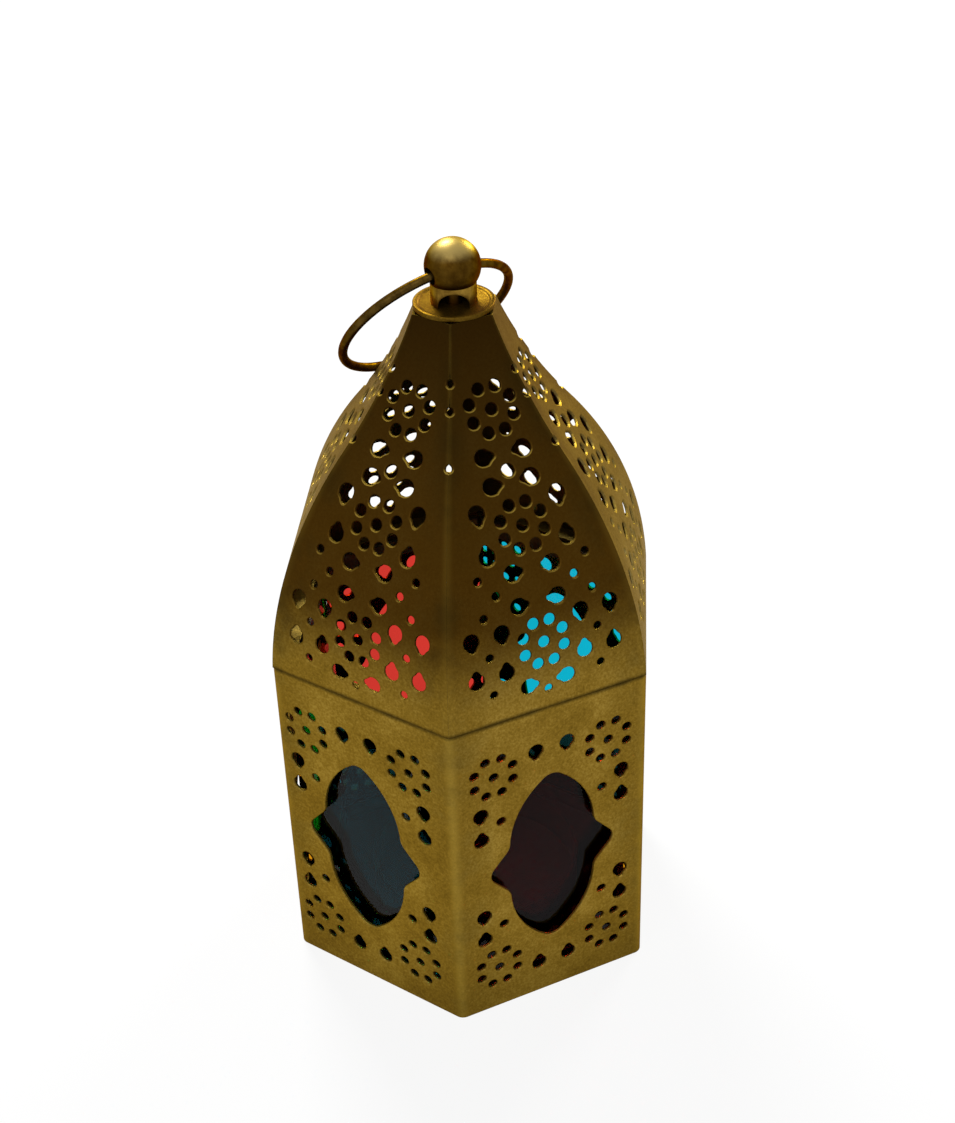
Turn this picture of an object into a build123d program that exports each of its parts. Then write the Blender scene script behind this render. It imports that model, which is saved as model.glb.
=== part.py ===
import math
import os
from bisect import bisect

from build123d import *

# Hexagonal body, sizes in millimetres, standing on Z = 0 with its front face towards -Y
corner_radius = 40.0
base_height = 70.0
sheet = 0.7
fold_cut = 1.3
seam_bevel = 0.6
rim_flange = 4.0
floor_sheet = 0.8
floor_fit = 0.1

# Roof: six ogee petals from the seam up to the cap
roof_height = 65.0
roof_top_apothem = 7.0
lid_gap = 0.1
ridge_gap = 0.2
crown_swing = 19.5
slope_swing = 13.1
lip_swing = 2.5

# Pierced pattern: pin holes in rosettes, and drop-shaped holes in pairs
pin_hole = 2.2
pin_hole_sides = 4
rosette_radius = 4.2
rosette_count = 8
drop_width = 3.0
drop_length = 3.7
drop_shoulder = 0.6
pierce_depth = 3.0

# Barbed window in each wall, by what is left of the wall round it
window_margin = 14.5
lobe_margin = 11.1
barb_margin = 7.0
barb_height = 11.0
barb_tip_cut = 1.0
window_tip_cut = 1.6
ogive_steps = 4
pattern_drop = 1.0
front_pattern_shift = -1.5

# Holes around a wall's window, in from the wall's ends and from its corners
rosette_side_margin = 8.15
rosette_end_margin = 11.15
edge_pair_x = 3.2
edge_pair_margin = 8.3
side_pair_margin = 5.3
side_pair_end_margin = 19.3
side_pair_pitch = 6.2

# Places of the holes on a roof petal, measured up its outer face from the seam
lower_rosette = 13.8
middle_rosette = 35.5
upper_rosette = 56.3
pair_near = 3.9
pair_far = 7.8
bend_margin = 0.2

# Glass panes and the channels that hold them
pane_setback = 2.1
pane_thickness = 2.0
pane_corner_gap = 0.6
pane_fit = 0.1
pane_head_room = 0.2
channel_sheet = 0.6
channel_lip = 3.0
channel_corner_gap = 0.4

# Candle cup on the floor
cup_inner_radius = 20.5
cup_height = 9.0
cup_sheet = 0.5
cup_sides = 16

# Cap and finial
cap_radius = 7.3
cap_thickness = 0.9
collar_radius = 4.1
collar_wall = 0.9
collar_sides = 18
collar_height = 3.6
collar_notch_width = 5.0
collar_notch_height = 2.6
collar_notch_heading = 305.0
ball_radius = 5.0
stem_radius = 1.5
stem_fit = 0.1
stem_tail = 1.0
small_round_sides = 8
ball_sides = 12
ball_steps = 6
nut_flats = 5.5
nut_height = 2.4

# Ring handle, hanging from a cross hole in the ball
ring_radius = 16.6
ring_wire = 1.7
ring_heading = 156.9
ring_rest_gap = 1.0
ring_sides = 24
wire_bevel = 0.29
ring_hole = 3.2
ring_hole_drop = 0.8

# Hinge of the roof on the back face
hinge_width = 18.0
leaf_sheet = 0.6
base_leaf_height = 7.5
roof_leaf_height = 5.0
knuckle_radius = 1.5
knuckle_wall_gap = 0.3
knuckle_end_gap = 0.2
middle_knuckle = 6.0
pin_radius = 0.75
pin_fit = 0.1
pin_head_radius = 1.2
pin_head = 0.5
rivet_radius = 0.7
rivet_fit = 0.05
rivet_head_radius = 1.2
rivet_head = 0.5
rivet_sides = 6
rivet_x = 6.4
base_rivet_drop = 6.0
roof_rivet_rise = 3.2

# Worked out from the sizes above
hexagon_sides = 6
side_turn = 360 / hexagon_sides
corner_slope = math.tan(math.radians(side_turn / 2))
corner_ratio = 1 / math.cos(math.radians(side_turn / 2))
face_apothem = corner_radius / corner_ratio
wall_back = face_apothem - sheet
half_side = corner_radius / 2
half_height = base_height / 2
window_width = 2 * (half_side - lobe_margin)
window_height = 2 * (half_height - window_margin)
barb_span = 2 * (half_side - barb_margin)
pattern_z = half_height - pattern_drop
wall_rosette_x = half_side - rosette_side_margin
wall_rosette_z = half_height - rosette_end_margin
edge_pair_z = half_height - edge_pair_margin
side_pair_x = half_side - side_pair_margin
side_pair_outer_z = half_height - side_pair_end_margin
side_pair_inner_z = side_pair_outer_z - side_pair_pitch
under_flange = base_height - sheet
pane_front = face_apothem - pane_setback
pane_back = pane_front - pane_thickness
pane_width = 2 * (pane_back * corner_slope - pane_corner_gap)
pane_low = floor_sheet + channel_sheet + pane_fit
pane_high = under_flange - channel_sheet - pane_head_room
channel_back = pane_back - pane_fit - channel_sheet
channel_width = 2 * (channel_back * corner_slope - channel_corner_gap)
channel_height = channel_sheet + channel_lip
roof_low = base_height + lid_gap
roof_top = base_height + roof_height
cap_top = roof_top + cap_thickness
collar_top = cap_top + collar_height
ball_z = collar_top + math.sqrt(ball_radius**2 - collar_radius**2)
ring_z = ball_z - ring_hole_drop
pin_y = face_apothem + knuckle_radius + knuckle_wall_gap
pin_z = base_height + lid_gap / 2
sides = ("front", "front_right", "back_right", "back", "back_left", "front_left")

# The roof's outer section is two tangent arcs, as distance from the axis and height
roof_run = face_apothem - roof_top_apothem
roof_rise = roof_top - roof_low
chord_lean = math.atan2(roof_run, roof_rise)
start_lean = chord_lean - math.radians(crown_swing)
slope_lean = chord_lean + math.radians(slope_swing)
lip_lean = chord_lean - math.radians(lip_swing)
crown_run = math.cos(start_lean) - math.cos(slope_lean)
crown_rise = math.sin(slope_lean) - math.sin(start_lean)
lip_run = math.cos(lip_lean) - math.cos(slope_lean)
lip_rise = math.sin(slope_lean) - math.sin(lip_lean)
arc_share = crown_run * lip_rise - lip_run * crown_rise
crown_radius = (roof_run * lip_rise - roof_rise * lip_run) / arc_share
lip_radius = (roof_rise * crown_run - roof_run * crown_rise) / arc_share
crown_length = crown_radius * (slope_lean - start_lean)

# Distances from the axis run along X of this plane and heights along its Y
section_plane = Plane(origin=(0, 0, 0), x_dir=(0, -1, 0), z_dir=(-1, 0, 0))
wall_plane = Plane.XZ.offset(face_apothem)


# Distance from the axis, height and lean of the roof's outer face at a length from the seam
def roof_face(length):
    if length < crown_length:
        lean = start_lean + length / crown_radius
        run = crown_radius * (math.cos(start_lean) - math.cos(lean))
        rise = crown_radius * (math.sin(lean) - math.sin(start_lean))
    else:
        lean = slope_lean - (length - crown_length) / lip_radius
        run = crown_radius * crown_run + lip_radius * (math.cos(lean) - math.cos(slope_lean))
        rise = crown_radius * crown_rise + lip_radius * (math.sin(slope_lean) - math.sin(lean))
    return face_apothem - run, roof_low + rise, lean


# The petals are bent across in flat bands, so that each row of holes lies inside one band
band_half = pair_near + drop_length / 2 + bend_margin
bend_lengths = [0.0]
for place in (lower_rosette, middle_rosette, upper_rosette):
    bend_lengths += [place - band_half, place + band_half]
bend_lengths.append(crown_length + lip_radius * (slope_lean - lip_lean))
roof_bends = [roof_face(length)[:2] for length in bend_lengths]
inner_bends = [(face_apothem - sheet, roof_low + sheet)]
for distance, height, lean in map(roof_face, bend_lengths[1:]):
    inner_bends.append((distance - sheet * math.cos(lean), height - sheet * math.sin(lean)))


# Plane lying on the flat band of the front petal at a length from the seam, with Y up the petal
def band_plane(length):
    band = bisect(bend_lengths, length)
    low = Vector(0, -roof_bends[band - 1][0], roof_bends[band - 1][1])
    high = Vector(0, -roof_bends[band][0], roof_bends[band][1])
    share = (length - bend_lengths[band - 1]) / (bend_lengths[band] - bend_lengths[band - 1])
    return Plane(
        origin=low + (high - low) * share,
        x_dir=(1, 0, 0),
        z_dir=Vector(1, 0, 0).cross(high - low),
    )


# Rosettes up a petal, each with the sides on which it has a pair of drops
petal_modules = {
    lower_rosette: (0, 90, 180, 270),
    middle_rosette: (0, 90, 180, 270),
    upper_rosette: (270,),
}

# Hinge on the back, laid out on the front side and turned
hinge_side = "back"
hinge_turn = sides.index(hinge_side) * side_turn
roof_leaf_plane = band_plane(roof_rivet_rise)
base_rivet_places = ((-rivet_x, pin_z - base_rivet_drop), (rivet_x, pin_z - base_rivet_drop))
roof_rivet_places = ((-rivet_x, 0), (rivet_x, 0))

# Finial: the stem passes through collar, cap and nut, and the ball is built of flats from its foot up
stem_low = roof_top - nut_height - stem_tail
stem_hole = stem_radius + stem_fit
ball_foot = math.asin((collar_top - ball_z) / ball_radius)
ball_step = (math.pi / 2 - ball_foot) / (ball_steps + 0.5)
ball_angles = [ball_foot + step * ball_step for step in range(ball_steps + 1)]
notch_out = Vector(1, 0, 0).rotate(Axis.Z, collar_notch_heading)
notch_plane = Plane(origin=(0, 0, cap_top), x_dir=Vector(0, 0, 1).cross(notch_out), z_dir=notch_out)

# Ring: level directions away from the ball and along its cross hole
ring_out = Vector(1, 0, 0).rotate(Axis.Z, ring_heading)
ring_across = ring_out.cross(Vector(0, 0, 1))
face_normals = [Vector(0, -1, 0).rotate(Axis.Z, turn * side_turn) for turn in range(hexagon_sides)]


# Apothem of the roof's outer face at a height
def roof_apothem(height):
    band = bisect([bend[1] for bend in roof_bends[1:-1]], height)
    low_reach, low_height = roof_bends[band]
    high_reach, high_height = roof_bends[band + 1]
    return low_reach + (high_reach - low_reach) * (height - low_height) / (high_height - low_height)


# Least level gap between the wire and the roof when the ring hangs at an angle below level
def ring_gap(fall):
    gaps = [ring_radius]
    for step in range(ring_sides):
        swing = 2 * math.pi * step / ring_sides
        down = ring_radius * (1 - math.cos(swing))
        point = ring_out * (down * math.cos(fall)) + ring_across * (ring_radius * math.sin(swing))
        height = ring_z - down * math.sin(fall)
        if height < roof_top:
            gaps.append(max(point.dot(normal) for normal in face_normals) - roof_apothem(height))
    return min(gaps) - ring_wire / 2


# The ring lies as low as its wire stays clear of the roof, and its wire bows inside the ball
half_degrees = [math.radians(step / 2) for step in range(180)]
ring_fall = max(fall for fall in half_degrees if ring_gap(fall) > ring_rest_gap)
ring_down = ring_out * math.cos(ring_fall) - Vector(0, 0, math.sin(ring_fall))
ring_bow = ring_radius - math.sqrt(ring_radius**2 - ball_radius**2 + ring_hole_drop**2)
ring_hole_centre = Vector(0, 0, ring_z)
ring_hole_plane = Plane(origin=ring_hole_centre, z_dir=ring_across)
ring_plane = Plane(
    origin=ring_hole_centre + ring_down * (ring_radius - ring_bow / 2),
    x_dir=ring_across,
    z_dir=ring_across.cross(ring_down),
)


# Hexagon whose corners are folded over a short flat, the same sheet thickness round each corner
def hexagon(apothem):
    RegularPolygon(apothem, hexagon_sides, major_radius=False)
    chamfer(vertices(), fold_cut - 2 * (face_apothem - apothem) * (corner_ratio - 1))


# Wedge of plan that belongs to the front side, with its two sides moved in by a gap
def sector(gap):
    reach = 2 * corner_radius
    apex = -gap / math.sin(math.radians(side_turn / 2))
    Polygon(
        (0, apex),
        (-reach * corner_slope, apex - reach),
        (reach * corner_slope, apex - reach),
        align=None,
    )


def rosette():
    RegularPolygon(pin_hole / 2, pin_hole_sides)
    with PolarLocations(rosette_radius, rosette_count, start_angle=180 / rosette_count):
        RegularPolygon(pin_hole / 2, pin_hole_sides)


# Drop-shaped hole at x, y whose point looks along point_angle
def drop(x, y, point_angle):
    with Locations(Location((x, y, 0), (0, 0, point_angle))):
        Polygon(
            (drop_length / 2, 0),
            (-drop_shoulder, drop_width / 2),
            (-drop_length / 2, 0),
            (-drop_shoulder, -drop_width / 2),
            align=None,
        )


# Holes of one wall, about the centre of its window
with BuildSketch() as wall_pattern:
    with BuildLine():
        ogive = TangentArc(
            (window_width / 2, barb_height / 2),
            (0, window_height / 2),
            tangent=(0, 1),
            mode=Mode.PRIVATE,
        )
        Polyline(*[ogive @ (step / ogive_steps) for step in range(ogive_steps + 1)])
        Line((window_width / 2, barb_height / 2), (barb_span / 2, 0))
        mirror(about=Plane.XZ)
        mirror(about=Plane.YZ)
    make_face()
    chamfer(vertices().group_by(Axis.X)[0], barb_tip_cut)
    chamfer(vertices().group_by(Axis.X)[-1], barb_tip_cut)
    chamfer(vertices().group_by(Axis.Y)[0], window_tip_cut)
    chamfer(vertices().group_by(Axis.Y)[-1], window_tip_cut)
    for across in (-1, 1):
        for up in (-1, 1):
            with Locations((across * wall_rosette_x, up * wall_rosette_z)):
                rosette()
            drop(across * edge_pair_x, up * edge_pair_z, -90 * up)
            drop(across * side_pair_x, up * side_pair_outer_z, -90 * up)
            drop(across * side_pair_x, up * side_pair_inner_z, 90 * up)


# Rosette with a pair of drops on each of the listed sides, the points of a pair facing each other
def petal_pattern(pair_angles):
    rosette()
    for pair_angle in pair_angles:
        with Locations(Location((0, 0, 0), (0, 0, pair_angle))):
            drop(pair_far, pair_near, -90)
            drop(pair_far, -pair_near, 90)


os.makedirs("parts", exist_ok=True)


# Floor plate, inside the walls and flush with their lower edges
with BuildPart() as base_floor:
    with BuildSketch():
        hexagon(wall_back - floor_fit)
    extrude(amount=floor_sheet)
base_floor.part.label = "base_floor"
export_step(base_floor.part, "parts/base_floor.step")


# Pierced wall panels, mitred at the corners, each with a flange turned in at the seam
for index, side in enumerate(sides):
    with BuildPart() as wall:
        with BuildSketch():
            hexagon(face_apothem)
        extrude(amount=base_height)
        chamfer(wall.faces().sort_by(Axis.Z)[-1].edges(), seam_bevel)
        with BuildSketch():
            hexagon(wall_back)
        extrude(amount=under_flange, mode=Mode.SUBTRACT)
        with BuildSketch():
            RegularPolygon(face_apothem - rim_flange, hexagon_sides, major_radius=False)
        extrude(amount=base_height, mode=Mode.SUBTRACT)
        with BuildSketch():
            sector(0)
        extrude(amount=base_height, mode=Mode.INTERSECT)
        with BuildSketch(wall_plane):
            shift = front_pattern_shift if side == "front" else 0
            with Locations((shift, pattern_z)):
                add(wall_pattern.sketch)
        extrude(amount=-pierce_depth, mode=Mode.SUBTRACT)
        if side == hinge_side:
            with BuildSketch(wall_plane):
                with Locations(*base_rivet_places):
                    RegularPolygon(rivet_radius + rivet_fit, rivet_sides)
            extrude(amount=-sheet, mode=Mode.SUBTRACT)
    with BuildPart() as wall_panel:
        add(wall.part, rotation=(0, 0, index * side_turn))
    wall_panel.part.label = f"wall_{side}"
    export_step(wall_panel.part, f"parts/wall_{side}.step")


# Glass pane and its two channels behind each wall
for index, side in enumerate(sides):
    with BuildPart() as flat_pane:
        with BuildSketch(Plane.XZ.offset(pane_front)):
            with Locations((0, pane_low)):
                Rectangle(pane_width, pane_high - pane_low, align=(Align.CENTER, Align.MIN))
        extrude(amount=-pane_thickness)
    with BuildPart() as pane:
        add(flat_pane.part, rotation=(0, 0, index * side_turn))
    pane.part.label = f"pane_{side}"
    export_step(pane.part, f"parts/pane_{side}.step")

    with BuildPart() as straight_channels:
        with BuildSketch(section_plane):
            with Locations((wall_back, floor_sheet)):
                Rectangle(wall_back - channel_back, channel_height, align=(Align.MAX, Align.MIN))
            with Locations((wall_back, under_flange)):
                Rectangle(wall_back - channel_back, channel_height, align=(Align.MAX, Align.MAX))
            with Locations((pane_front + pane_fit, floor_sheet + channel_sheet)):
                Rectangle(
                    pane_thickness + 2 * pane_fit,
                    under_flange - floor_sheet - 2 * channel_sheet,
                    align=(Align.MAX, Align.MIN),
                    mode=Mode.SUBTRACT,
                )
        extrude(amount=channel_width / 2, both=True)
    with BuildPart() as channels:
        add(straight_channels.part, rotation=(0, 0, index * side_turn))
    channels.part.label = f"channels_{side}"
    export_step(channels.part, f"parts/channels_{side}.step")


# Shallow cup that keeps a tea light in the middle of the floor
with BuildPart() as candle_cup:
    with BuildSketch(Plane.XY.offset(floor_sheet)):
        RegularPolygon(cup_inner_radius + cup_sheet, cup_sides)
    extrude(amount=cup_height)
    with BuildSketch(Plane.XY.offset(floor_sheet + cup_sheet)):
        RegularPolygon(cup_inner_radius, cup_sides)
    extrude(amount=cup_height - cup_sheet, mode=Mode.SUBTRACT)
candle_cup.part.label = "candle_cup"
export_step(candle_cup.part, "parts/candle_cup.step")


# Pierced roof petals: an ogee sheet with a flange turned in at the seam, mitred at the ridges
for index, side in enumerate(sides):
    with BuildPart() as petal:
        with BuildSketch(section_plane):
            with BuildLine():
                Polyline(
                    (face_apothem - rim_flange, roof_low),
                    *roof_bends,
                    *reversed(inner_bends),
                    (face_apothem - rim_flange, roof_low + sheet),
                    close=True,
                )
            make_face()
            seam_corner = vertices().sort_by_distance((face_apothem, roof_low, 0))[0]
            chamfer(seam_corner, seam_bevel)
        extrude(amount=corner_radius, both=True)
        with BuildSketch():
            sector(ridge_gap / 2)
        extrude(amount=roof_top + roof_height, mode=Mode.INTERSECT)
        for place, pair_angles in petal_modules.items():
            with BuildSketch(band_plane(place)):
                petal_pattern(pair_angles)
            extrude(amount=pierce_depth, both=True, mode=Mode.SUBTRACT)
        if side == hinge_side:
            with BuildSketch(roof_leaf_plane):
                with Locations(*roof_rivet_places):
                    RegularPolygon(rivet_radius + rivet_fit, rivet_sides)
            extrude(amount=pierce_depth, both=True, mode=Mode.SUBTRACT)
    with BuildPart() as roof_petal:
        add(petal.part, rotation=(0, 0, index * side_turn))
    roof_petal.part.label = f"petal_{side}"
    export_step(roof_petal.part, f"parts/petal_{side}.step")


# Round cap on the upper edges of the petals
with BuildPart() as cap_disc:
    with BuildSketch(Plane.XY.offset(roof_top)):
        RegularPolygon(cap_radius, collar_sides)
        RegularPolygon(stem_hole, small_round_sides, mode=Mode.SUBTRACT)
    extrude(amount=cap_thickness)
cap_disc.part.label = "cap_disc"
export_step(cap_disc.part, "parts/cap_disc.step")


# Hollow collar between cap and ball, with an arched notch in its foot
with BuildPart() as finial_collar:
    with BuildSketch(Plane.XY.offset(cap_top)):
        RegularPolygon(collar_radius, collar_sides)
        RegularPolygon(collar_radius - collar_wall, collar_sides, mode=Mode.SUBTRACT)
    extrude(amount=collar_height)
    with BuildSketch(notch_plane):
        with Locations((0, collar_notch_height - collar_notch_width / 2)):
            RegularPolygon(collar_notch_width / 2, small_round_sides)
    extrude(amount=collar_radius, mode=Mode.SUBTRACT)
finial_collar.part.label = "finial_collar"
export_step(finial_collar.part, "parts/finial_collar.step")


# Ball with a stem down through collar and cap, and a cross hole for the ring
with BuildPart() as finial_ball:
    for low, high in zip(ball_angles, ball_angles[1:]):
        rise = ball_radius * (math.sin(high) - math.sin(low))
        inset = ball_radius * (math.cos(low) - math.cos(high)) * math.cos(math.pi / ball_sides)
        with BuildSketch(Plane.XY.offset(ball_z + ball_radius * math.sin(low))):
            RegularPolygon(ball_radius * math.cos(low), ball_sides)
        extrude(amount=rise, taper=math.degrees(math.atan2(inset, rise)))
    with BuildSketch(Plane.XY.offset(stem_low)):
        RegularPolygon(stem_radius, small_round_sides)
    extrude(amount=collar_top - stem_low)
    with BuildSketch(ring_hole_plane):
        RegularPolygon(ring_hole / 2, ball_sides)
    extrude(amount=ball_radius, both=True, mode=Mode.SUBTRACT)
finial_ball.part.label = "finial_ball"
export_step(finial_ball.part, "parts/finial_ball.step")


# Hexagon nut under the cap
with BuildPart() as finial_nut:
    with BuildSketch(Plane.XY.offset(roof_top)):
        RegularPolygon(nut_flats / 2, hexagon_sides, major_radius=False)
        RegularPolygon(stem_hole, small_round_sides, mode=Mode.SUBTRACT)
    extrude(amount=-nut_height)
finial_nut.part.label = "finial_nut"
export_step(finial_nut.part, "parts/finial_nut.step")


# Wire ring, leaning down beside the roof
with BuildPart() as ring_handle:
    with BuildSketch(ring_plane):
        RegularPolygon(ring_radius + ring_wire / 2, ring_sides)
        RegularPolygon(ring_radius - ring_wire / 2, ring_sides, mode=Mode.SUBTRACT)
    extrude(amount=ring_wire / 2, both=True)
    chamfer(edges().filter_by(ring_plane), ring_wire * wire_bevel)
ring_handle.part.label = "ring_handle"
export_step(ring_handle.part, "parts/ring_handle.step")


# Hinge leaf on the back wall, with the two outer knuckles
with BuildPart() as flat_base_leaf:
    with BuildSketch(wall_plane):
        with Locations((0, pin_z)):
            Rectangle(hinge_width, base_leaf_height, align=(Align.CENTER, Align.MAX))
    extrude(amount=leaf_sheet)
    with BuildSketch(section_plane):
        with Locations((pin_y, pin_z)):
            RegularPolygon(knuckle_radius, small_round_sides)
    extrude(amount=hinge_width / 2, both=True)
    with BuildSketch(wall_plane):
        with Locations((0, pin_z - knuckle_radius - knuckle_wall_gap)):
            Rectangle(
                middle_knuckle + 2 * knuckle_end_gap,
                base_leaf_height,
                align=(Align.CENTER, Align.MIN),
            )
    extrude(amount=2 * pin_y, mode=Mode.SUBTRACT)
    with BuildSketch(section_plane):
        with Locations((pin_y, pin_z)):
            RegularPolygon(pin_radius + pin_fit, small_round_sides, major_radius=False)
    extrude(amount=hinge_width / 2, both=True, mode=Mode.SUBTRACT)
    with BuildSketch(wall_plane):
        with Locations(*base_rivet_places):
            RegularPolygon(rivet_radius + rivet_fit, rivet_sides)
    extrude(amount=leaf_sheet, mode=Mode.SUBTRACT)
with BuildPart() as base_leaf:
    add(flat_base_leaf.part, rotation=(0, 0, hinge_turn))
base_leaf.part.label = "hinge_leaf_base"
export_step(base_leaf.part, "parts/hinge_leaf_base.step")


# Hinge leaf on the back petal, with the middle knuckle
with BuildPart() as flat_roof_leaf:
    with BuildSketch(roof_leaf_plane):
        with Locations((0, roof_leaf_height - roof_rivet_rise)):
            Rectangle(
                hinge_width,
                roof_leaf_height - knuckle_radius - knuckle_wall_gap,
                align=(Align.CENTER, Align.MAX),
            )
            Rectangle(middle_knuckle, roof_leaf_height, align=(Align.CENTER, Align.MAX))
    extrude(amount=leaf_sheet)
    with BuildSketch(section_plane):
        with Locations((pin_y, pin_z)):
            RegularPolygon(knuckle_radius, small_round_sides)
    extrude(amount=middle_knuckle / 2, both=True)
    with BuildSketch(section_plane):
        with Locations((pin_y, pin_z)):
            RegularPolygon(pin_radius + pin_fit, small_round_sides, major_radius=False)
    extrude(amount=middle_knuckle / 2, both=True, mode=Mode.SUBTRACT)
    with BuildSketch(roof_leaf_plane):
        with Locations(*roof_rivet_places):
            RegularPolygon(rivet_radius + rivet_fit, rivet_sides)
    extrude(amount=leaf_sheet, mode=Mode.SUBTRACT)
with BuildPart() as roof_leaf:
    add(flat_roof_leaf.part, rotation=(0, 0, hinge_turn))
roof_leaf.part.label = "hinge_leaf_roof"
export_step(roof_leaf.part, "parts/hinge_leaf_roof.step")


# Hinge pin with a peened head at each end
with BuildPart() as flat_pin:
    with BuildSketch(section_plane):
        with Locations((pin_y, pin_z)):
            Circle(pin_radius)
    extrude(amount=hinge_width / 2 + pin_fit, both=True)
    for end in (-1, 1):
        with BuildSketch(section_plane.offset(end * (hinge_width / 2 + pin_fit))):
            with Locations((pin_y, pin_z)):
                RegularPolygon(pin_head_radius, small_round_sides)
        extrude(amount=end * pin_head)
with BuildPart() as hinge_pin:
    add(flat_pin.part, rotation=(0, 0, hinge_turn))
hinge_pin.part.label = "hinge_pin"
export_step(hinge_pin.part, "parts/hinge_pin.step")


# Rivets of the two hinge leaves
for name, plane, places in (
    ("rivets_base", wall_plane, base_rivet_places),
    ("rivets_roof", roof_leaf_plane, roof_rivet_places),
):
    with BuildPart() as flat_rivets:
        with BuildSketch(plane.offset(-sheet - rivet_fit)):
            with Locations(*places):
                RegularPolygon(rivet_radius, rivet_sides)
        extrude(amount=sheet + leaf_sheet + rivet_fit)
        with BuildSketch(plane.offset(leaf_sheet)):
            with Locations(*places):
                RegularPolygon(rivet_head_radius, rivet_sides)
        extrude(amount=rivet_head)
        with BuildSketch(plane.offset(-sheet - rivet_fit)):
            with Locations(*places):
                RegularPolygon(rivet_head_radius, rivet_sides)
        extrude(amount=-rivet_head)
    with BuildPart() as rivets:
        add(flat_rivets.part, rotation=(0, 0, hinge_turn))
    rivets.part.label = name
    export_step(rivets.part, f"parts/{name}.step")
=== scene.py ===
import math

import bpy
from mathutils import Matrix, Vector


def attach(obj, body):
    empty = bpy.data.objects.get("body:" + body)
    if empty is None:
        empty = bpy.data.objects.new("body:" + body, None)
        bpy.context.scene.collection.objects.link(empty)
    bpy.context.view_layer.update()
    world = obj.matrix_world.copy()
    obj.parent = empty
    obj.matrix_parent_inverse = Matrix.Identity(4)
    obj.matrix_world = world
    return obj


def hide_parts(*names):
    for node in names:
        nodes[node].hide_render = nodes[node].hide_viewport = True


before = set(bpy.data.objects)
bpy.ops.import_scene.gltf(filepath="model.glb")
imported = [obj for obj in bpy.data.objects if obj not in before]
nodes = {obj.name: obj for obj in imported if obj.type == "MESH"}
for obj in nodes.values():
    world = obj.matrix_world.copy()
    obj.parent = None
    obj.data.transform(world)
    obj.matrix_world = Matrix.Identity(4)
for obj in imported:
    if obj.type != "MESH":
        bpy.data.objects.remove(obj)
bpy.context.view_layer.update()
scene = bpy.context.scene
scene.view_settings.view_transform = "Standard"
mm = 0.001
touch = 0.01 * mm  # what lies nearer than this counts as the same place
sides = ["front", "front_right", "back_right", "back", "back_left", "front_left"]  # each a sixth of a turn on
print("frame loaded:", len(nodes), "nodes")


def clearSelection():
    if bpy.context.object and bpy.context.object.mode != "OBJECT":
        bpy.ops.object.mode_set(mode="OBJECT")
    bpy.ops.object.select_all(action="DESELECT")


def makeActive(piece):
    clearSelection()
    piece.select_set(True)
    bpy.context.view_layer.objects.active = piece


def applyPlace(piece, place=None):
    if place is not None:
        piece.matrix_world = place
    makeActive(piece)
    bpy.ops.object.transform_apply(location=True, rotation=True, scale=True)


# leaves the piece in edit mode with the chosen items selected
def pick(piece, kind, test):
    makeActive(piece)
    bpy.ops.object.mode_set(mode="EDIT")
    bpy.ops.mesh.select_mode(type=kind)
    bpy.ops.mesh.select_all(action="DESELECT")
    bpy.ops.object.mode_set(mode="OBJECT")
    mesh = piece.data
    for item in {"VERT": mesh.vertices, "EDGE": mesh.edges, "FACE": mesh.polygons}[kind]:
        if kind == "VERT":
            centre = item.co
        elif kind == "EDGE":
            centre = (mesh.vertices[item.vertices[0]].co + mesh.vertices[item.vertices[1]].co) / 2
        else:
            centre = item.center
        item.select = bool(test(centre))
    bpy.ops.object.mode_set(mode="EDIT")


def extrudeBy(x, y, z):
    bpy.ops.mesh.extrude_region_move(TRANSFORM_OT_translate={"value": (x * mm, y * mm, z * mm)})


def resizeBy(x, y, z):
    bpy.ops.transform.resize(value=(x, y, z), center_override=(0, 0, 0))


def applyModifier(piece, kind, **settings):
    makeActive(piece)
    modifier = piece.modifiers.new(kind.title(), kind)
    for name, value in settings.items():
        setattr(modifier, name, value)
    bpy.ops.object.modifier_apply(modifier=modifier.name)


def roundEdges(piece, width, segments=3, over=40):
    applyModifier(piece, "BEVEL", width=width * mm, segments=segments, limit_method="ANGLE",
                  angle_limit=math.radians(over))


def copyOf(piece, name):
    twin = piece.copy()
    twin.data = piece.data.copy()
    twin.name = name
    scene.collection.objects.link(twin)
    return twin


def joinAll(pieces):
    clearSelection()
    for piece in pieces:
        piece.select_set(True)
    bpy.context.view_layer.objects.active = pieces[0]
    bpy.ops.object.join()
    bpy.ops.object.transform_apply(location=True, rotation=True, scale=True)
    return bpy.context.object


def cutAway(piece, punch):
    applyModifier(piece, "BOOLEAN", operation="DIFFERENCE", solver="EXACT", object=punch)
    bpy.data.objects.remove(punch)


def smoothBy(piece, degrees):
    makeActive(piece)
    bpy.ops.object.shade_smooth_by_angle(angle=math.radians(degrees))


def settle(piece, name, material, body, slot, *replaced):
    piece.name = name
    piece.data.name = name
    piece.data.materials.clear()
    piece.data.materials.append(material)
    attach(piece, body)
    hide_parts(*replaced)


def paintNode(name, material):
    for slot in nodes[name].material_slots:
        slot.material = material


def linearColour(code):
    channels = [int(code[i:i + 2], 16) / 255 for i in (1, 3, 5)]
    return (*[c / 12.92 if c <= 0.04045 else ((c + 0.055) / 1.055) ** 2.4 for c in channels], 1.0)


def newMaterial(name):
    material = bpy.data.materials.new(name)
    material.use_nodes = True
    material.node_tree.nodes.clear()
    return material, material.node_tree


def addNode(tree, kind, inputs=None, **settings):
    node = tree.nodes.new(kind)
    for name, value in settings.items():
        setattr(node, name, value)
    for socket, value in (inputs or {}).items():
        if isinstance(value, bpy.types.NodeSocket):
            tree.links.new(value, node.inputs[socket])
        else:
            node.inputs[socket].default_value = value
    return node


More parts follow.
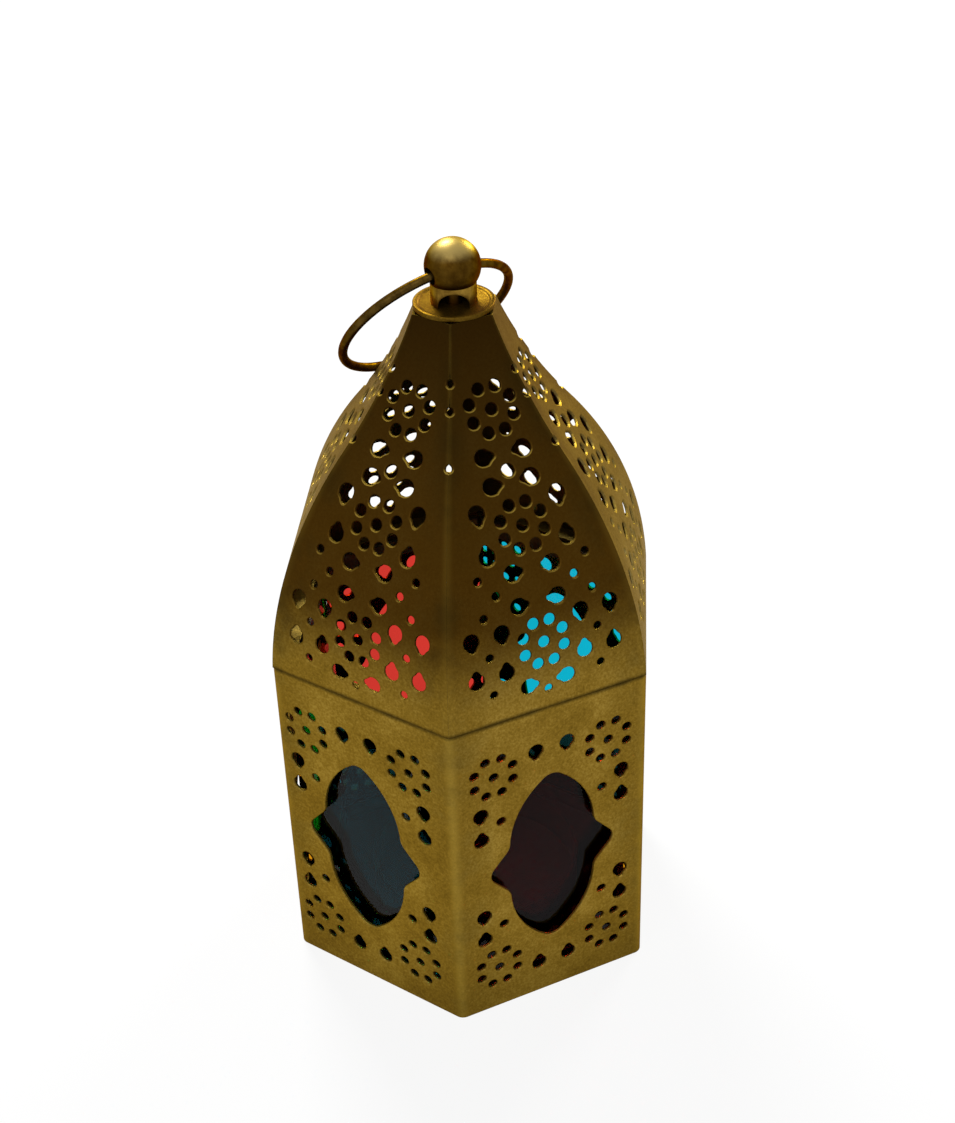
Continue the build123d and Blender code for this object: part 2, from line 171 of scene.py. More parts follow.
# value from one span to another
def mapRange(tree, value, span, result=(0.0, 1.0), smooth=False):
    return addNode(tree, "ShaderNodeMapRange", {
        "Value": value, "From Min": span[0], "From Max": span[1], "To Min": result[0], "To Max": result[1]},
        interpolation_type="SMOOTHSTEP" if smooth else "LINEAR").outputs["Result"]


def reckon(tree, operation, *values):
    return addNode(tree, "ShaderNodeMath", dict(enumerate(values)), operation=operation).outputs["Value"]


# a share of one colour laid over what is below
def layOver(tree, below, share, code):
    return addNode(tree, "ShaderNodeMix", {
        "Factor": share, "A": below, "B": linearColour(code)}, data_type="RGBA").outputs["Result"]


def noiseOf(tree, place, size, **inputs):
    return addNode(tree, "ShaderNodeTexNoise", {
        "Vector": place, "Scale": 1 / (size * mm), **inputs}).outputs["Fac"]


def bumpOf(tree, height, strength, deep):
    return addNode(tree, "ShaderNodeBump", {
        "Height": height, "Strength": strength, "Distance": deep * mm}).outputs["Normal"]


def setRamp(node, *stops):
    ramp = node.color_ramp
    ramp.elements[0].position, ramp.elements[1].position = stops[0][0], stops[-1][0]
    ramp.elements[0].color, ramp.elements[1].color = linearColour(stops[0][1]), linearColour(stops[-1][1])
    for position, code in stops[1:-1]:
        ramp.elements.new(position).color = linearColour(code)


# antique-gold lacquer sprayed on tinned sheet: metal flake that is blotched, lightened on the folds by rubbed
# wear and a painted highlight, with painted shade beside the folds, at the seam and at the foot, and soot with
# painted shade inside
wallLacquer = {
    "dark": "#6e5518", "mid": "#866a25", "light": "#a0843a", "paleWearAndHighlight": "#b5983f", "shadeAndSoot": "#1f1604",
    "blotch": 10.0, "grain": 0.5, "metallic": 0.9, "roughness": (0.38, 0.55), "edgeTint": "#d8b868",
    "foldRubAndHighlight": 0.3, "footShade": 0.35, "foldShade": 0.45, "paintedLipLight": 0.45, "inside": 0.8,
}
# the same lacquer on the two petals facing the camera, with painted shade rising from the eaves up and darkest
# at the top
shadedRoofLacquer = dict(
    wallLacquer, roofShade="#382002", roofShadeFrom=71.0, roofShadeTo=90.0, roofShadeMost=0.9, topShade="#1c0f02",
    topShadeMost=0.75, foldRubAndHighlight=0.06)
# the other petals painted pale as a reflection of grazing light, with less painted shade toward the top
paleReflectionLacquer = dict(
    wallLacquer, dark="#66542a", mid="#7c6938", light="#96824f", roofShade="#4c3715", roofShadeFrom=80.0,
    roofShadeTo=125.0, roofShadeMost=0.5, topShade="#2c1d08", topShadeMost=0.3, foldRubAndHighlight=0.1)
# darker gold on the cap, with no fold rub or highlight, no fold shade and no painted lip highlight
capLacquer = dict(
    wallLacquer, dark="#4a360b", mid="#5f4713", light="#7a6022", foldRubAndHighlight=0.0, foldShade=0.0, paintedLipLight=0.0, inside=0.0)
# inside the lantern the same lacquer is nearly black, as soot and painted shade
sootAndShadeLacquer = dict(
    wallLacquer, dark="#171208", mid="#241b0c", light="#352912", metallic=0.5, roughness=(0.55, 0.75),
    foldRubAndHighlight=0.0, foldShade=0.0, paintedLipLight=0.0, inside=0.0)
# where the wear marks and the painted light and shade lie: heights and widths in mm, the rest as shares
wearAndLight = {
    "tones": (0.36, 0.5, 0.66), "shine": (0.3, 0.7), "speckle": 0.5, "roofShadeSpread": 14.0,
    "topShadeSpan": (100.0, 142.0), "foldGrain": 0.05, "foldRubHighlightSpan": (0.025, 0.065), "foldShadeSpan": (0.03, 0.2),
    "foldShadePatch": (0.42, 0.62), "sootShadeFacing": (-0.7, -0.3), "litLipFacing": (0.62, 0.8), "seam": 70.05,
    "seamSpread": 1.2, "seamShadeSpan": (-0.7, 0.3), "seamShadeMost": 0.85, "footShadeHigh": 18.0, "bump": 0.35,
    "bumpDeep": 0.12,
}


def lacquer(name, finish):
    material, tree = newMaterial(name)
    place = addNode(tree, "ShaderNodeTexCoord").outputs["Object"]
    split = addNode(tree, "ShaderNodeSeparateXYZ", {"Vector": place}).outputs
    blotch = noiseOf(tree, place, finish["blotch"], Detail=5.0, Roughness=0.62)
    grain = noiseOf(tree, place, finish["grain"], Detail=3.0, Roughness=0.7)
    speckle = addNode(tree, "ShaderNodeMix", {
        "Factor": wearAndLight["speckle"], "A": blotch, "B": grain}, data_type="FLOAT").outputs["Result"]
    tone = addNode(tree, "ShaderNodeValToRGB", {"Fac": speckle})
    setRamp(tone, *zip(wearAndLight["tones"], (finish["dark"], finish["mid"], finish["light"])))
    colour = tone.outputs["Color"]
    # painted shade: darker from the eaves up and darkest at the top of the roof
    if "roofShade" in finish:  # rises unevenly with height, carried by the blotches
        uneven = reckon(tree, "MULTIPLY_ADD", blotch, wearAndLight["roofShadeSpread"] * mm, split["Z"])
        span = [(finish[end] + wearAndLight["roofShadeSpread"] / 2) * mm for end in ("roofShadeFrom", "roofShadeTo")]
        rise = mapRange(tree, uneven, span, (0.0, finish["roofShadeMost"]), smooth=True)
        colour = layOver(tree, colour, rise, finish["roofShade"])
        topShadeSpan = mapRange(tree, uneven, [end * mm for end in wearAndLight["topShadeSpan"]], (0.0, finish["topShadeMost"]))
        colour = layOver(tree, colour, topShadeSpan, finish["topShade"])
    # folds stand at whole sixths of a turn
    turn = reckon(tree, "ARCTAN2", split["Y"], split["X"])
    sixths = reckon(tree, "MULTIPLY", turn, 3 / math.pi)
    fromFold = reckon(tree, "PINGPONG", sixths, 0.5)
    # rubbed wear and a painted highlight lighten the folds
    worn = reckon(tree, "MULTIPLY_ADD", grain, wearAndLight["foldGrain"], fromFold)
    foldRubAndHighlight = mapRange(tree, worn, wearAndLight["foldRubHighlightSpan"], (finish["foldRubAndHighlight"], 0.0), smooth=True)
    colour = layOver(tree, colour, foldRubAndHighlight, finish["paleWearAndHighlight"])
    # painted shade in patches beside the folds
    beside = mapRange(tree, fromFold, wearAndLight["foldShadeSpan"], (finish["foldShade"], 0.0))
    patch = mapRange(tree, blotch, wearAndLight["foldShadePatch"])
    colour = layOver(tree, colour, reckon(tree, "MULTIPLY", beside, patch), finish["shadeAndSoot"])
    # soot and painted shade darken the side that faces the candle
    normal = addNode(tree, "ShaderNodeTexCoord").outputs["Normal"]
    level = addNode(tree, "ShaderNodeVectorMath", {0: place, 1: (1, 1, 0)}, operation="MULTIPLY")
    outward = addNode(tree, "ShaderNodeVectorMath", {0: level.outputs["Vector"]}, operation="NORMALIZE")
    facing = addNode(tree, "ShaderNodeVectorMath", {
        0: outward.outputs["Vector"], 1: normal}, operation="DOT_PRODUCT").outputs["Value"]
    inside = mapRange(tree, facing, wearAndLight["sootShadeFacing"], (finish["inside"], 0.0))
    colour = layOver(tree, colour, inside, finish["shadeAndSoot"])
    # painted highlight on the lips of the holes that face up
    upward = addNode(tree, "ShaderNodeSeparateXYZ", {"Vector": normal}).outputs["Z"]
    paintedLipLight = mapRange(tree, upward, wearAndLight["litLipFacing"], (0.0, finish["paintedLipLight"]))
    colour = layOver(tree, colour, paintedLipLight, finish["paleWearAndHighlight"])
    # painted shade in the seam between wall and roof, wider in the blotches, and painted shade at the foot
    away = reckon(tree, "ABSOLUTE", reckon(tree, "SUBTRACT", split["Z"], wearAndLight["seam"] * mm))
    patchy = reckon(tree, "MULTIPLY_ADD", blotch, -wearAndLight["seamSpread"] * mm, away)
    seamShade = mapRange(tree, patchy, [end * mm for end in wearAndLight["seamShadeSpan"]], (wearAndLight["seamShadeMost"], 0.0), smooth=True)
    # painted shade: darker towards the foot
    foot = mapRange(tree, split["Z"], (0.0, wearAndLight["footShadeHigh"] * mm), (finish["footShade"], 0.0))
    colour = layOver(tree, colour, reckon(tree, "MAXIMUM", seamShade, foot), finish["shadeAndSoot"])
    skin = addNode(tree, "ShaderNodeBsdfPrincipled", {
        "Base Color": colour, "Metallic": finish["metallic"],
        "Roughness": mapRange(tree, speckle, wearAndLight["shine"], finish["roughness"][::-1]),
        "Specular Tint": linearColour(finish["edgeTint"]),
        "Normal": bumpOf(tree, grain, wearAndLight["bump"], wearAndLight["bumpDeep"])})
    addNode(tree, "ShaderNodeOutputMaterial", {"Surface": skin.outputs["BSDF"]})
    return material


wallGold = lacquer("antique_gold_lacquer", wallLacquer)
shadedRoofGold = lacquer("gold_lacquer_painted_shade", shadedRoofLacquer)
paleReflectionGold = lacquer("gold_lacquer_painted_pale_reflection", paleReflectionLacquer)
capGold = lacquer("handled_gold_lacquer", capLacquer)
sootAndShadeGold = lacquer("gold_lacquer_sooted_and_shaded", sootAndShadeLacquer)

# solid brass: the ball is painted dark as shade and lightened on its crown as a painted highlight, the ring and
# fittings are dull
ballBrass = {
    "dark": "#3a2606", "light": "#553d10", "spot": 2.4, "roughness": (0.34, 0.46), "crownHighlight": "#a08a50",
    "crownHighlightFrom": 144.4, "crownHighlightTo": 146.6,
}
wireBrass = {"dark": "#33250b", "light": "#5a451c", "spot": 1.8, "roughness": (0.3, 0.48)}
fittingBrass = {"dark": "#5d4416", "light": "#94752f", "spot": 2.0, "roughness": (0.28, 0.5)}
brassLook = {
    "tones": (0.34, 0.66), "shine": (0.3, 0.7), "crownHighlightSpread": 1.2, "edgeTint": "#c8a860", "bump": 0.25,
    "bumpDeep": 0.08,
}


def brassFinish(name, finish):
    material, tree = newMaterial(name)
    place = addNode(tree, "ShaderNodeTexCoord").outputs["Object"]
    tarnish = noiseOf(tree, place, finish["spot"], Detail=5.0, Roughness=0.65)
    tone = addNode(tree, "ShaderNodeValToRGB", {"Fac": tarnish})
    setRamp(tone, *zip(brassLook["tones"], (finish["dark"], finish["light"])))
    colour = tone.outputs["Color"]
    # painted highlight on the crown
    if "crownHighlight" in finish:
        height = addNode(tree, "ShaderNodeSeparateXYZ", {"Vector": place}).outputs["Z"]
        uneven = reckon(tree, "MULTIPLY_ADD", tarnish, brassLook["crownHighlightSpread"] * mm, height)
        span = [(finish[end] + brassLook["crownHighlightSpread"] / 2) * mm for end in ("crownHighlightFrom", "crownHighlightTo")]
        colour = layOver(tree, colour, mapRange(tree, uneven, span, smooth=True), finish["crownHighlight"])
    skin = addNode(tree, "ShaderNodeBsdfPrincipled", {
        "Base Color": colour, "Metallic": 1.0,
        "Roughness": mapRange(tree, tarnish, brassLook["shine"], finish["roughness"][::-1]),
        "Specular Tint": linearColour(brassLook["edgeTint"]),
        "Normal": bumpOf(tree, tarnish, brassLook["bump"], brassLook["bumpDeep"])})
    addNode(tree, "ShaderNodeOutputMaterial", {"Surface": skin.outputs["BSDF"]})
    return material


crownLitBrass = brassFinish("brass_painted_lit_crown_and_shade", ballBrass)
brownWire = brassFinish("browned_brass_wire", wireBrass)
dullBrass = brassFinish("tarnished_brass", fittingBrass)

# bare rolled steel of the glass channels, never painted: dull brown-grey with faint mottling
steelLook = {
    "dark": "#3a3022", "light": "#5d5140", "mottle": 3.0, "span": (0.3, 0.7), "roughness": (0.48, 0.62),
    "metallic": 0.9,
}
bareSteel, tree = newMaterial("bare_rolled_steel")
mottle = noiseOf(tree, addNode(tree, "ShaderNodeTexCoord").outputs["Object"], steelLook["mottle"], Detail=4.0)
tone = addNode(tree, "ShaderNodeValToRGB", {"Fac": mottle})
setRamp(tone, *zip(steelLook["span"], (steelLook["dark"], steelLook["light"])))
skin = addNode(tree, "ShaderNodeBsdfPrincipled", {
    "Base Color": tone.outputs["Color"], "Metallic": steelLook["metallic"],
    "Roughness": mapRange(tree, mottle, steelLook["span"], steelLook["roughness"][::-1])})
addNode(tree, "ShaderNodeOutputMaterial", {"Surface": skin.outputs["BSDF"]})

# drawn sheet glass coloured in the melt: slow waves from drawing, and a dull film that takes most of its
# shine, so its index is below that of clean glass
glassTints = {"turquoise": "#0fb4cf", "red": "#d2382f", "amber": "#dd9414"}
glassLook = {
    "wave": 14.0, "waveSpan": (0.3, 0.7), "waveDepth": (0.88, 1.0), "streak": 5.0, "filmSpan": (0.45, 0.75),
    "filmRough": (0.0, 0.05), "film": "#484848", "ior": 1.25, "bump": 0.15, "bumpDeep": 0.3,
}


def colouredGlass(tint):
    material, tree = newMaterial(f"{tint}_sheet_glass")
    place = addNode(tree, "ShaderNodeTexCoord").outputs["Object"]
    wave = noiseOf(tree, place, glassLook["wave"], Detail=2.0)
    streak = noiseOf(tree, place, glassLook["streak"], Detail=4.0)
    colour = addNode(tree, "ShaderNodeMix", {
        "Factor": 1.0, "A": linearColour(glassTints[tint]),
        "B": mapRange(tree, wave, glassLook["waveSpan"], glassLook["waveDepth"])},
        data_type="RGBA", blend_type="MULTIPLY")
    skin = addNode(tree, "ShaderNodeBsdfPrincipled", {
        "Base Color": colour.outputs["Result"], "IOR": glassLook["ior"], "Transmission Weight": 1.0,
        "Roughness": mapRange(tree, streak, glassLook["filmSpan"], glassLook["filmRough"]),
        "Specular Tint": linearColour(glassLook["film"]),
        "Normal": bumpOf(tree, wave, glassLook["bump"], glassLook["bumpDeep"])})
    addNode(tree, "ShaderNodeOutputMaterial", {"Surface": skin.outputs["BSDF"]})
    return material


glass = {tint: colouredGlass(tint) for tint in glassTints}
for index, side in enumerate(sides):
    paintNode(f"pane_{side}", glass[list(glassTints)[index % len(glassTints)]])
    paintNode(f"channels_{side}", bareSteel)
paintNode("base_floor", sootAndShadeGold)
paintNode("finial_nut", dullBrass)
print("finishes mixed")

# punches stand on the sheet's outer face at z 0, and each draws the rim of its hole down a little
punch = {
    "pin": 1.9, "roofPin": 2.2, "speck": 1.5, "bead": 2.4, "dropWide": 3.0, "dropLong": 3.7, "shoulder": 0.3,
    "tip": 0.75, "tipNarrow": 0.72, "ring": 4.2, "petals": 8, "through": 3.0, "draw": 0.32, "lipLow": 0.65,
    "lipGrow": 0.3, "sides": 18,
}


def flareUp(tool, growX, growY):
    draw, low, part = punch["draw"], punch["lipLow"], punch["lipGrow"]
    pick(tool, "FACE", lambda co: co.z > -touch)
    bpy.ops.transform.translate(value=(0, 0, -draw * mm))
    extrudeBy(0, 0, draw * low)
    resizeBy(1 + growX * part, 1 + growY * part, 1)
    extrudeBy(0, 0, draw * (1 - low))
    resizeBy((1 + growX) / (1 + growX * part), (1 + growY) / (1 + growY * part), 1)
    extrudeBy(0, 0, punch["through"])
    bpy.ops.object.mode_set(mode="OBJECT")


def roundPunch(diameter):
    clearSelection()
    bpy.ops.mesh.primitive_cylinder_add(
        vertices=punch["sides"], radius=diameter / 2 * mm, depth=punch["through"] * mm,
        location=(0, 0, -punch["through"] / 2 * mm))
    tool = bpy.context.object
    applyPlace(tool)
    return tool


# round behind, drawn out to a blunt point along X
def dropPunch():
    tool = roundPunch(punch["dropWide"])
    back = punch["dropWide"] / 2
    pick(tool, "VERT", lambda co: co.x > punch["shoulder"] * back * mm)
    resizeBy(punch["dropLong"] / back - 1, 1, 1)
    pick(tool, "VERT", lambda co: co.x > punch["tip"] * back * mm)
    resizeBy(1, punch["tipNarrow"], 1)
    bpy.ops.object.mode_set(mode="OBJECT")
    return tool


pinTool, roofPinTool, speckTool, beadTool = [
    roundPunch(punch[kind]) for kind in ("pin", "roofPin", "speck", "bead")]
dropTool = dropPunch()
for tool, across in ((pinTool, "pin"), (roofPinTool, "roofPin"), (speckTool, "speck"), (beadTool, "bead"),
                     (dropTool, "dropWide")):
    grow = 2 * punch["draw"] / punch[across]
    flareUp(tool, grow, grow)


# a copy of the tool at each (x, y, turn)
def stamp(tool, marks):
    copies = []
    for x, y, turn in marks:
        twin = copyOf(tool, "punch")
        twin.location = (x * mm, y * mm, 0)
        twin.rotation_euler = (0, 0, math.radians(turn))
        copies.append(twin)
    return copies


def rosetteMarks(x, y):
    marks = [(x, y, 0)]
    for step in range(punch["petals"]):
        angle = math.tau * (step + 0.5) / punch["petals"]
        marks.append((x + punch["ring"] * math.cos(angle), y + punch["ring"] * math.sin(angle), 0))
    return marks


wall = {
    "side": 40.0, "apothem": 34.641, "height": 70.0, "fold": 2.0, "foldSteps": 5, "sheet": 0.7, "flange": 4.0,
    "seamBend": 0.4, "bendSteps": 6, "windowHigh": 41.6, "windowWide": 17.8, "ogiveSteps": 9, "barbSpan": 27.6,
    "barbHigh": 11.0, "barbRound": 2.2, "tipRound": 1.7, "neckRound": 1.0, "roundSteps": 5, "middle": 34.0,
    "rosette": (11.85, 23.85), "edgePair": (3.2, 26.7), "sidePair": (14.7, 9.5, 15.7), "single": (10.6, 12.9),
    "drift": {"front": -1.5, "front_right": 0.4}, "smooth": 16,
}


# a point is spun into a quarter of the ogive, drawn out to the barb, mirrored and filled
def windowPunch():
    clearSelection()
    corner = Vector((wall["windowWide"] / 2, wall["barbHigh"] / 2, 0)) * mm
    top, tip = wall["windowHigh"] / 2 * mm, wall["barbSpan"] / 2 * mm
    radius = (corner.x ** 2 + (top - corner.y) ** 2) / (2 * corner.x)
    bpy.ops.mesh.primitive_plane_add(size=mm)
    tool = bpy.context.object
    pick(tool, "VERT", lambda co: True)
    bpy.ops.mesh.merge(type="CENTER")
    bpy.ops.transform.translate(value=corner)
    bpy.ops.mesh.spin(steps=wall["ogiveSteps"], angle=-math.asin((top - corner.y) / radius),
                      center=corner - Vector((radius, 0, 0)), axis=(0, 0, 1))
    pick(tool, "VERT", lambda co: (co - corner).length < touch / 10)
    bpy.ops.mesh.extrude_region_move(TRANSFORM_OT_translate={"value": Vector((tip, 0, 0)) - corner})
    bpy.ops.object.mode_set(mode="OBJECT")
    applyModifier(tool, "MIRROR", use_axis=(True, True, False), merge_threshold=touch)
    pick(tool, "VERT", lambda co: True)
    bpy.ops.mesh.edge_face_add()
    for test, size in (
            (lambda co: abs(co.x) > tip - touch, wall["barbRound"]),
            (lambda co: abs(co.y) > top - touch, wall["tipRound"]),
            (lambda co: abs(abs(co.x) - corner.x) + abs(abs(co.y) - corner.y) < touch,
             wall["neckRound"])):
        pick(tool, "VERT", test)
        bpy.ops.mesh.bevel(offset=size * mm, segments=wall["roundSteps"], affect="VERTICES")
    pick(tool, "FACE", lambda co: True)
    bpy.ops.transform.translate(value=(0, 0, -punch["through"] * mm))
    extrudeBy(0, 0, punch["through"])
    bpy.ops.mesh.select_all(action="SELECT")
    bpy.ops.mesh.normals_make_consistent(inside=False)
    flareUp(tool, 2 * punch["draw"] / wall["barbSpan"], 2 * punch["draw"] / wall["windowHigh"])
    return tool


def wallPunches():
    pins, drops = [], []
    for across in (-1, 1):
        for up in (-1, 1):
            pins += rosetteMarks(across * wall["rosette"][0], up * wall["rosette"][1])
            pins.append((across * wall["single"][0], up * wall["single"][1], 0))
            x, near, far = wall["sidePair"]
            drops.append((across * wall["edgePair"][0], up * wall["edgePair"][1], -90 * up))
            drops.append((across * x, up * far, -90 * up))
            drops.append((across * x, up * near, 90 * up))
    return joinAll(stamp(pinTool, pins) + stamp(dropTool, drops) + [windowPunch()])


# flat sheet with half a fold spun at each side and a flange turned in at the seam, then pierced
def piercedWall(drift):
    clearSelection()
    half = wall["side"] / 2 - wall["fold"] * math.tan(math.radians(30))
    bpy.ops.mesh.primitive_plane_add(size=mm)
    sheet = bpy.context.object
    applyPlace(sheet, Matrix.Translation((0, -wall["apothem"] * mm, wall["height"] / 2 * mm))
               @ Matrix.Rotation(math.radians(90), 4, "X")
               @ Matrix.Diagonal((2 * half, wall["height"], 1, 1)))
    for way in (-1, 1):
        pick(sheet, "EDGE", lambda co: co.x * way > half * mm - touch)
        bpy.ops.mesh.spin(steps=wall["foldSteps"], angle=-way * math.radians(30), axis=(0, 0, 1),
                          center=(way * half * mm, (wall["fold"] - wall["apothem"]) * mm, 0))
    pick(sheet, "EDGE", lambda co: co.z > wall["height"] * mm - touch)
    extrudeBy(0, 0, 0)
    inward = 1 - wall["flange"] / wall["apothem"]
    resizeBy(inward, inward, 1)
    bpy.ops.object.mode_set(mode="OBJECT")
    roundEdges(sheet, wall["seamBend"], wall["bendSteps"], 60)
    applyModifier(sheet, "SOLIDIFY", thickness=wall["sheet"] * mm, offset=-1, use_even_offset=True)
    tool = wallPunches()
    applyPlace(tool, Matrix.Translation(Vector((drift, -wall["apothem"], wall["middle"])) * mm)
               @ Matrix.Rotation(math.radians(90), 4, "X"))
    cutAway(sheet, tool)
    return sheet


plainWall = piercedWall(0.0)
for index, side in enumerate(sides):
    if side in wall["drift"]:
        panel = piercedWall(wall["drift"][side])  # the two walls in view were punched a little off centre
    else:
        panel = copyOf(plainWall, "panel")
    applyPlace(panel, Matrix.Rotation(math.radians(60 * index), 4, "Z"))
    smoothBy(panel, wall["smooth"])
    settle(panel, f"piercedWall_{side}", wallGold, "base", "gold_sheet", f"wall_{side}")
bpy.data.objects.remove(plainWall)
print("walls pierced and folded")

petal = {
    "seam": (34.641, 70.1), "waist": (19.658, 111.559), "top": (7.0, 135.0), "leans": (3.569, 36.169, 20.569),
    "crownRadius": 78.533, "lipRadius": 98.148, "curveSteps": 64, "sheet": 0.45, "length": 71.4, "bands": 71,
    "spare": 1.05, "flange": 4.0, "ridgeGap": 0.02, "rosettes": (13.8, 35.5, 56.3), "near": 3.9, "far": 7.8,
    "wide": 13.7, "foot": 4.5, "eye": 45.3, "smooth": 16,
    "specks": ((10.7, 6.5), (10.7, 13.8), (10.7, 21.2), (7.7, 24.6), (10.5, 28.0)),
    "ridgeNotches": ((10.4, 47.6), (7.5, 57.0), (6.3, 61.6)),
    "drift": {
        "front": (-0.6, -1.15), "front_right": (0.15, -0.65), "back": (-1.5, 0.9), "back_left": (1.0, 1.7)},
}


# side view of the roof as a flat curve: X up the roof, Y out from the axis
def ogeeCurve():
    clearSelection()
    bpy.ops.curve.primitive_bezier_curve_add()
    curve = bpy.context.object
    curve.data.dimensions = "2D"
    curve.data.resolution_u = petal["curveSteps"]
    points = curve.data.splines[0].bezier_points
    points.add(1)
    first, second, third = petal["leans"]
    crownArm = petal["crownRadius"] * 4 / 3 * math.tan(math.radians(second - first) / 4)
    lipArm = petal["lipRadius"] * 4 / 3 * math.tan(math.radians(second - third) / 4)
    for point, spot, lean, before, after in zip(
            points, (petal["seam"], petal["waist"], petal["top"]), petal["leans"],
            (crownArm, crownArm, lipArm), (crownArm, lipArm, lipArm)):
        along = Vector((math.cos(math.radians(lean)), -math.sin(math.radians(lean)), 0)) * mm
        point.handle_left_type = point.handle_right_type = "FREE"
        point.co = (spot[1] * mm, spot[0] * mm, 0)
        point.handle_left = point.co - along * before
        point.handle_right = point.co + along * after
    return curve


def petalPunches(drift):
    low, middle, high = petal["rosettes"]
    near, far, wide = petal["near"], petal["far"], petal["wide"]
    pins, specks, drops = [], [(0, petal["foot"], 0)], []
    for rise in petal["rosettes"]:
        pins += rosetteMarks(0, rise)
    for across in (-1, 1):
        inward = 90 + 90 * across
        for rise in (low, middle):
            drops += [(across * far, rise + near, -90), (across * far, rise - near, 90)]
            drops += [(across * near, rise + far, inward), (across * near, rise - far, inward)]
        drops += [(across * near, high - far, inward)]
        drops += [(across * wide, low + near, -90), (across * wide, low - near, 90)]
        specks += [(across * x, rise, 0) for x, rise in petal["specks"]]
    pattern = joinAll(stamp(roofPinTool, pins) + stamp(speckTool, specks) + stamp(dropTool, drops)
                      + stamp(beadTool, [(0, petal["eye"], 0)]))
    applyPlace(pattern, Matrix.Translation((drift[0] * mm, drift[1] * mm, 0)))
    return pattern


def mitre(piece):
    for way in (-1, 1):
        pick(piece, "FACE", lambda co: True)
        outward = Vector((way * math.cos(math.radians(30)), math.sin(math.radians(30)), 0))
        bpy.ops.mesh.bisect(plane_co=-outward * petal["ridgeGap"] / 2 * mm, plane_no=outward,
                            use_fill=True, clear_outer=True)
    bpy.ops.object.mode_set(mode="OBJECT")
    return piece


# pierced flat, bent along the ogee, stood on the seam with its flange, and mitred at both ridges
def bentPetal(drift):
    clearSelection()
    bpy.ops.mesh.primitive_grid_add(x_subdivisions=1, y_subdivisions=petal["bands"], size=mm)
    sheet = bpy.context.object
    applyPlace(sheet, Matrix.Translation((0, petal["length"] / 2 * mm, 0))
               @ Matrix.Diagonal((petal["spare"] * wall["side"], petal["length"], 1, 1)))
    applyModifier(sheet, "SOLIDIFY", thickness=petal["sheet"] * mm, offset=-1)
    cutAway(sheet, petalPunches(drift))
    cutAway(sheet, joinAll(stamp(speckTool, [
        (way * x, rise, 0) for x, rise in petal["ridgeNotches"] for way in (-1, 1)])))
    sheet.rotation_euler = (math.radians(-90), math.radians(-90), 0)
    applyPlace(sheet)
    ogee = ogeeCurve()
    applyModifier(sheet, "CURVE", object=ogee, deform_axis="POS_X")
    bpy.data.objects.remove(ogee)
    sheet.rotation_euler = (math.radians(180), math.radians(-90), 0)
    applyPlace(sheet)
    clearSelection()
    bpy.ops.mesh.primitive_plane_add(size=mm)
    flange = bpy.context.object
    deep = petal["flange"] - petal["sheet"]
    applyPlace(flange, Matrix.Translation(
        Vector((0, petal["sheet"] + deep / 2 - petal["seam"][0], petal["seam"][1])) * mm)
        @ Matrix.Diagonal((wall["side"], deep, 1, 1)))
    applyModifier(flange, "SOLIDIFY", thickness=petal["sheet"] * mm, offset=1)
    return joinAll([mitre(sheet), mitre(flange)])


plainPetal = bentPetal((0, 0))
for index, side in enumerate(sides):
    if side in petal["drift"]:
        leaf = bentPetal(petal["drift"][side])  # punched by eye, so light falls through two petals at once
    else:
        leaf = copyOf(plainPetal, "leaf")
    applyPlace(leaf, Matrix.Rotation(math.radians(60 * index), 4, "Z"))
    smoothBy(leaf, petal["smooth"])
    # shaded and lit copies of one lacquer: painted shade on the two petals facing the camera, a painted pale
    # reflection on the rest
    finish = shadedRoofGold if side in ("front", "front_right") else paleReflectionGold
    settle(leaf, f"piercedPetal_{side}", finish, "lid", "gold_sheet", f"petal_{side}")
for leftover in (plainPetal, pinTool, roofPinTool, speckTool, beadTool, dropTool):
    bpy.data.objects.remove(leftover)
print("petals pierced and bent")

cup = {
    "radius": 21.0, "sheet": 0.5, "low": 0.8, "tall": 9.0, "lip": 0.42, "foot": 1.1, "footSteps": 4, "sides": 72,
    "lipSides": 12, "smooth": 35,
}
clearSelection()
bpy.ops.mesh.primitive_cylinder_add(
    vertices=cup["sides"], radius=cup["radius"] * mm, depth=cup["tall"] * mm,
    location=(0, 0, (cup["low"] + cup["tall"] / 2) * mm))
dish = bpy.context.object
applyPlace(dish)
pick(dish, "EDGE", lambda co: co.z < cup["low"] * mm + touch)
bpy.ops.mesh.bevel(offset=cup["foot"] * mm, segments=cup["footSteps"])
pick(dish, "FACE", lambda co: co.z > (cup["low"] + cup["tall"]) * mm - touch)
bpy.ops.mesh.inset(thickness=cup["sheet"] * mm)
extrudeBy(0, 0, cup["foot"] - cup["tall"])
extrudeBy(0, 0, cup["sheet"] - cup["foot"])
inner = 1 - cup["foot"] / (cup["radius"] - cup["sheet"])
resizeBy(inner, inner, 1)
clearSelection()
bpy.ops.mesh.primitive_torus_add(  # rolled lip
    major_radius=(cup["radius"] - cup["sheet"] / 2) * mm, minor_radius=cup["lip"] * mm,
    major_segments=cup["sides"], minor_segments=cup["lipSides"],
    location=(0, 0, (cup["low"] + cup["tall"] - cup["lip"]) * mm))
dish = joinAll([dish, bpy.context.object])
smoothBy(dish, cup["smooth"])
settle(dish, "candleCup", sootAndShadeGold, "base", "gold_sheet", "candle_cup")

